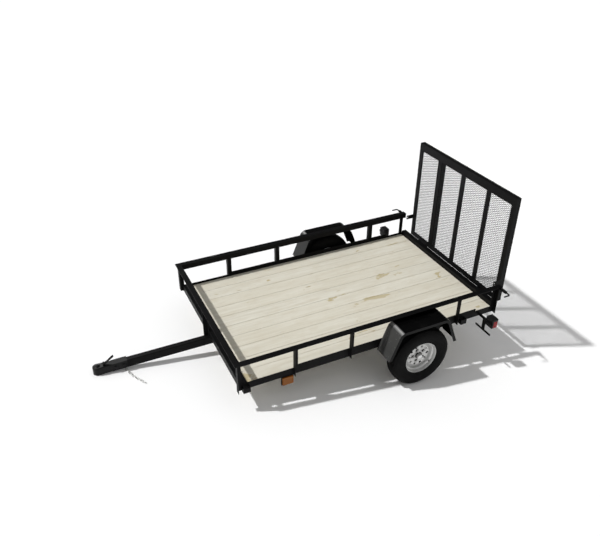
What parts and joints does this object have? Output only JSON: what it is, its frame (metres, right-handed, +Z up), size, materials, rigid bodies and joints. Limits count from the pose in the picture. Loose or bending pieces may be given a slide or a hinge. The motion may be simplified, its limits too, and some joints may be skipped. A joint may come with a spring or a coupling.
{
  "type": "utility trailer",
  "caption": "Open utility trailer with a plank deck, angle-iron frame and low side rails, flat-top fenders, a ball coupler and a mesh ramp gate that folds down behind.",
  "frame": {"origin": "on the ground, under the middle of the parked trailer's bounding box", "axes": "+X forward, from the gate to the coupler; +Y to the trailer's left; +Z up"},
  "size_m": [3.6001, 1.924, 1.6196],
  "materials": {
    "black_paint": "satin",
    "coupler_black": "satin",
    "deck_wood": "raw",
    "tyre_rubber": "matte",
    "wheel_silver": "satin",
    "hub_steel": "satin",
    "chain_zinc": "satin",
    "amber_lens": "gloss",
    "red_lens": "gloss",
    "lamp_plastic": "matte"
  },
  "bodies": {
    "chassis": {"axle": "black_paint", "axle_clamp_left": "black_paint", "axle_clamp_right": "black_paint", "coupler": "coupler_black", "coupler_latch": "coupler_black", "crossmember_1": "black_paint", "crossmember_2": "black_paint", "crossmember_3": "black_paint", "crossmember_4": "black_paint", "deck": "deck_wood", "fender_left": "black_paint", "fender_right": "black_paint", "front_rail": "black_paint", "gate_latch_left": "black_paint", "gate_latch_right": "black_paint", "hanger_front_left": "black_paint", "hanger_front_right": "black_paint", "hanger_rear_left": "black_paint", "hanger_rear_right": "black_paint", "marker_base_left": "lamp_plastic", "marker_base_right": "lamp_plastic", "marker_lens_left": "amber_lens", "marker_lens_right": "amber_lens", "plate_bracket": "black_paint", "post_front": "black_paint", "posts_left": "black_paint", "posts_right": "black_paint", "rear_rail": "black_paint", "safety_chain": "chain_zinc", "side_rail_left": "black_paint", "side_rail_right": "black_paint", "spring_left": "black_paint", "spring_right": "black_paint", "stake_pocket_front_left": "black_paint", "stake_pocket_front_right": "black_paint", "stake_pocket_rear_left": "black_paint", "stake_pocket_rear_right": "black_paint", "tail_arm_left": "black_paint", "tail_arm_right": "black_paint", "tail_housing_left": "lamp_plastic", "tail_housing_right": "lamp_plastic", "tail_lens_left": "red_lens", "tail_lens_right": "red_lens", "tongue": "black_paint", "top_rail_front": "black_paint", "top_rail_left": "black_paint", "top_rail_right": "black_paint"},
    "wheel_left": {"rim_left": "wheel_silver", "tyre_left": "tyre_rubber", "hub_left": "hub_steel"},
    "wheel_right": {"rim_right": "wheel_silver", "tyre_right": "tyre_rubber", "hub_right": "hub_steel"},
    "gate": {"gate_frame": "black_paint", "gate_mesh": "black_paint"}
  },
  "joints": [
    {"name": "wheel_left_spin", "type": "hinge", "parent": "chassis", "child": "wheel_left", "pos_m": [-0.79326, 0.886, 0.285], "axis": [0, 1, 0], "continuous": true},
    {"name": "wheel_right_spin", "type": "hinge", "parent": "chassis", "child": "wheel_right", "pos_m": [-0.79326, -0.886, 0.285], "axis": [0, 1, 0], "continuous": true},
    {"name": "gate_swing", "type": "hinge", "parent": "chassis", "child": "gate", "pos_m": [-1.77106, 0, 0.55215], "axis": [0, -1, 0], "range_deg": [0, 126]}
  ]
}
